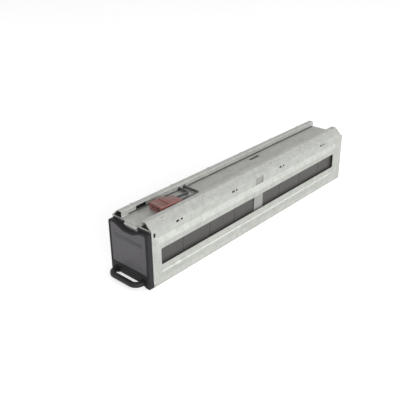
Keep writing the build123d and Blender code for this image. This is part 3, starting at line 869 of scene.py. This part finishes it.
@dataclass
class Front:
    """The moulded bezel, its blank label, the pull loop and the dark plates of painted shade behind the
    bezel.
    """

    film_y: tuple[float, float] = (-0.28800, -0.28770)
    border: Area = (-0.0385, 0.0385, 0.030, 0.087)
    border_line: float = 0.0009
    band: Area = (-0.035, 0.035, 0.076, 0.083)
    box: Area = (0.014, 0.034, 0.0345, 0.0445)
    rule_left: float = -0.034
    rule_rights: tuple[float, ...] = (0.034, 0.026, 0.034, 0.006)
    rule_top: float = 0.070
    rule_pitch: float = 0.0066
    rule_height: float = 0.0016
    corner: float = 0.0006
    # Dark plates of painted shade on the front wall beside the cover's lip.
    shade_plate_low: Point = (0.0158, -0.2784, 0.0930)
    shade_plate_high: Point = (0.0450, -0.2774, 0.1066)
    shade_plate_corner: float = 0.0022

    def blank_field(self, name: str, area: Area, grow: float = 0.0) -> bpy.types.Object:
        """One printed field of the label.

        Args:
            name: The field's name.
            area: Its low and high X and its low and high Z.
            grow: Margin added all round, or taken off where it is negative.
        Returns:
            The field.
        """
        deep = max(0.0, -grow)
        low = (area[0] - grow, self.film_y[0] - deep, area[2] - grow)
        high = (area[1] + grow, self.film_y[1] + deep, area[3] + grow)
        return rounded_plate(name, low, high, 1, self.corner)

    def outline(self, name: str, area: Area) -> None:
        """A blank field that is only its border line.

        Args:
            name: The field's name.
            area: Its low and high X and its low and high Z.
        """
        ring = self.blank_field(name, area)
        carve(ring, self.blank_field("inner_field", area, -self.border_line))
        settle(ring, LABEL_PALE)

    def build_shade_plates(self) -> None:
        """Dark plates in the foam finish on the steel front wall behind the bezel, one each side of the
        cover's lip: painted shade where the wall lies in the shade of the bezel's rim and the rail ends.
        """
        strip = rounded_plate("front_shade_plate", self.shade_plate_low, self.shade_plate_high, 1, self.shade_plate_corner)
        middle = size_and_middle(self.shade_plate_low, self.shade_plate_high)[1]
        # The foam finish on these plates paints shade on the front wall.
        settle(scatter(strip, "front_shade_plates", both_sides(middle.y)), FOAM)

    def build(self) -> None:
        """Gives the mouldings their plastics, the wall its dark plates of painted shade and the label its
        blank fields.
        """
        dress(BEZEL_PLASTIC, "front_bezel")
        dress(LABEL_FILM, "front_label")
        dress(HANDLE_PLASTIC, "pull_handle")
        self.build_shade_plates()
        self.outline("label_border", self.border)
        self.outline("label_box", self.box)
        settle(self.blank_field("label_band", self.band), LABEL_DARK)
        for row, right in enumerate(self.rule_rights):
            low = self.rule_top - row * self.rule_pitch
            area = (self.rule_left, right, low, low + self.rule_height)
            settle(self.blank_field(f"label_rule_{row + 1}", area), LABEL_PALE)


@dataclass
class Inside:
    """The batteries, their wiring and their soft packing."""

    batteries: int = 8

    def build(self) -> None:
        """Gives every inner piece its finish."""
        links = [f"series_link_{i}" for i in range(1, self.batteries)]
        dress(BATTERY_PLASTIC, *[f"battery_{i}" for i in range(1, self.batteries + 1)])
        dress(WIRE_SKIN, "negative_lead", "positive_lead", *links)
        dress(TAB_METAL, "battery_terminals")
        dress(BOOT_PLASTIC, "terminal_boots")
        dress(LINER_PLASTIC, "battery_liner_front", "battery_liner_rear", "top_insulator")
        dress(FOAM, "front_pad", "rear_pad")


@dataclass
class PowerConnector:
    """The two-pole connector in the valley: moulded body, wire clamp and contacts."""

    front: Point = (0.0043, -0.2262, 0.1105)
    turn: float = -4.0
    body: Point = (0.032, 0.0345, 0.0128)
    rib: Point = (0.027, 0.0034, 0.0030)
    rib_y: float = 0.0212
    rib_rise: float = 0.0013
    clamp: Point = (0.028, 0.0190, 0.0096)
    mouth: Point = (0.0115, 0.046, 0.0076)
    mouth_z: float = 0.0064
    recess: Point = (0.0236, 0.0100, 0.0030)
    recess_y: float = 0.0140
    pole_x: float = 0.0075
    grip_margin: float = 0.0018
    grip_depth: float = 0.0010
    edge: float = 0.0011

    def block(self, name: str, size: Point, middle: Point) -> bpy.types.Object:
        """A moulded block with softened edges, left open in edit mode.

        Args:
            name: The block's name.
            size: Its width, length and height.
            middle: Its middle.
        Returns:
            The block.
        """
        piece = start_box(name, size, middle)
        bpy.ops.mesh.select_all(action="SELECT")
        bpy.ops.mesh.bevel(offset=min(self.edge, min(size) / 3), segments=3, affect="EDGES")
        return piece

    def build_body(self) -> bpy.types.Object:
        """Front block with gripped sides, two mouths and a shallow recess before the rib.

        Returns:
            The block, in the connector's own place with its front at Y = 0.
        """
        long, tall = self.body[1:]
        piece = self.block("connector_body", self.body, (0.0, long / 2, tall / 2))
        for side in (-1.0, 1.0):
            pick(
                piece,
                Pick.FACES,
                lambda face: face.normal.x * side > FACING and face.calc_area() > long * tall / 2,
            )
            bpy.ops.mesh.inset(thickness=self.grip_margin)
            bpy.ops.transform.translate(value=(-side * self.grip_depth, 0.0, 0.0))
        close_piece()
        tools = [self.block("recess", self.recess, (0.0, self.recess_y, tall))]
        close_piece()
        for x in (-self.pole_x, self.pole_x):
            tools.append(self.block("mouth", self.mouth, (x, 0.0, self.mouth_z)))
            close_piece()
        carve(piece, *tools)
        return piece

    def build(self) -> None:
        """Joins the body, its rib and the clamp, and gives housing and contacts their finishes."""
        long, tall = self.body[1:]
        rib_z = tall + self.rib_rise - self.rib[2] / 2
        clamp_y = long - self.edge + self.clamp[1] / 2
        blocks = [self.build_body()]
        for name, size, spot in (
            ("connector_rib", self.rib, (0.0, self.rib_y, rib_z)),
            ("connector_clamp", self.clamp, (0.0, clamp_y, self.clamp[2] / 2)),
        ):
            blocks.append(self.block(name, size, spot))
            close_piece()
        housing = join("connector_moulding", blocks)
        place = Matrix.Translation(self.front) @ Matrix.Rotation(math.radians(self.turn), 4, "Z")
        housing.data.transform(place)
        settle(housing, CONNECTOR_PLASTIC, "connector_housing")
        dress(CONTACT_METAL, "connector_contacts")


@dataclass(frozen=True)
class Lamp:
    """One rectangular soft lamp of the studio."""

    name: str
    place: Point
    size: tuple[float, float]
    watts: float

    def build(self, aim: Point) -> None:
        """Adds the lamp to the scene.

        Args:
            aim: What it looks at.
        """
        data = bpy.data.lights.new(self.name, "AREA")
        data.shape = "RECTANGLE"
        data.size, data.size_y = self.size
        data.energy = self.watts
        lamp = bpy.data.objects.new(self.name, data)
        bpy.context.scene.collection.objects.link(lamp)
        lamp.location = self.place
        lamp.rotation_euler = (Vector(aim) - Vector(self.place)).to_track_quat("-Z", "Y").to_euler()


@dataclass
class Studio:
    """Pale floor, soft light and the camera at the photograph's view."""

    eye: Point = (0.7097, -0.8804, 0.6170)
    azimuth: float = 42.583
    elevation: float = 26.842
    roll: float = -0.830
    lens_px: float = 635.1
    sensor: float = 36.0
    near: float = 0.01
    floor_reach: float = 20.0
    floor_drop: float = 0.0002
    floor_colour: Colour = (0.80, 0.80, 0.80)
    floor_roughness: float = 0.9
    floor_glow: float = 0.62
    ambient: float = 0.34
    backdrop: float = 1.0
    aim: Point = (0.0, 0.0, 0.06)
    lamps: tuple[Lamp, ...] = (
        Lamp("side_lamp", (2.3, 1.2, 0.85), (3.2, 1.6), 30.0),
        Lamp("front_lamp", (2.15, -1.2, 0.90), (1.6, 1.0), 30.0),
        Lamp("top_lamp", (-1.5, -0.7, 1.5), (1.4, 1.4), 4.0),
    )

    def build_floor(self) -> None:
        """A wide pale plane that glows a little to the camera and keeps the shadow."""
        bpy.ops.object.select_all(action="DESELECT")
        bpy.ops.mesh.primitive_plane_add(size=self.floor_reach, location=(0.0, 0.0, -self.floor_drop))
        floor = bpy.context.object
        floor.name = "studio_floor"
        bpy.ops.object.transform_apply(location=True)
        material, wires, shader = new_material("studio_floor")
        shader.inputs["Base Color"].default_value = solid(self.floor_colour)
        shader.inputs["Roughness"].default_value = self.floor_roughness
        shader.inputs["Emission Color"].default_value = solid(WHITE)
        glow = wires.calc("MULTIPLY", self.seen(wires), self.floor_glow)
        wires.feed(shader.inputs["Emission Strength"], glow)
        floor.data.materials.append(material)

    @staticmethod
    def seen(wires: Wiring) -> bpy.types.NodeSocket:
        """Mask of rays from the camera, from gloss and through glass.

        Args:
            wires: The tree to work in.
        Returns:
            One for such rays and zero for others.
        """
        path = wires.add("ShaderNodeLightPath")
        rays = wires.calc("MAXIMUM", path.outputs["Is Camera Ray"], path.outputs["Is Glossy Ray"])
        return wires.calc("MAXIMUM", rays, path.outputs["Is Transmission Ray"])

    def build_world(self) -> None:
        """White to the camera and to gloss, and a plain soft light on the object."""
        world = bpy.data.worlds.new("studio_world")
        world.use_nodes = True
        bpy.context.scene.world = world
        wires = Wiring(world.node_tree)
        sky = world.node_tree.nodes["Background"]
        sky.inputs["Color"].default_value = solid(WHITE)
        glow = wires.add("ShaderNodeMapRange")
        for socket, value in zip(glow.inputs, (self.seen(wires), 0.0, 1.0, self.ambient, self.backdrop)):
            wires.feed(socket, value)
        wires.feed(sky.inputs["Strength"], glow.outputs["Result"])

    def build_camera(self) -> None:
        """The camera, turned and rolled as the photograph was taken."""
        turn, lift, lean = (math.radians(angle) for angle in (self.azimuth, self.elevation, self.roll))
        back = Vector((math.sin(turn) * math.cos(lift), -math.cos(turn) * math.cos(lift), math.sin(lift)))
        level = Vector((math.cos(turn), math.sin(turn), 0))
        rise = back.cross(level)
        right = math.cos(lean) * level + math.sin(lean) * rise
        up = math.cos(lean) * rise - math.sin(lean) * level
        data = bpy.data.cameras.new("photo_camera")
        data.sensor_fit = "HORIZONTAL"
        data.sensor_width = self.sensor
        data.lens = self.lens_px * self.sensor / PHOTO_SIDE
        data.clip_start = self.near
        camera = bpy.data.objects.new("photo_camera", data)
        bpy.context.scene.collection.objects.link(camera)
        camera.matrix_world = Matrix.Translation(self.eye) @ Matrix((right, up, back)).transposed().to_4x4()
        bpy.context.scene.camera = camera

    def build(self) -> None:
        """Sets the stage, the lights, the camera and the plain view transform."""
        self.build_floor()
        self.build_world()
        for lamp in self.lamps:
            lamp.build(self.aim)
        self.build_camera()
        bpy.context.scene.view_settings.view_transform = "Standard"


def main() -> None:
    """Builds and dresses every sub-assembly, then the studio round it."""
    logging.basicConfig(level=logging.INFO, format="%(name)s: %(message)s")
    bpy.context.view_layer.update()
    for part in (SteelCase(), CoverScrews(), Front(), PowerConnector(), Inside()):
        part.build()
        log.info("finished %s", type(part).__name__)
    Studio().build()


if __name__ == "__main__":
    main()
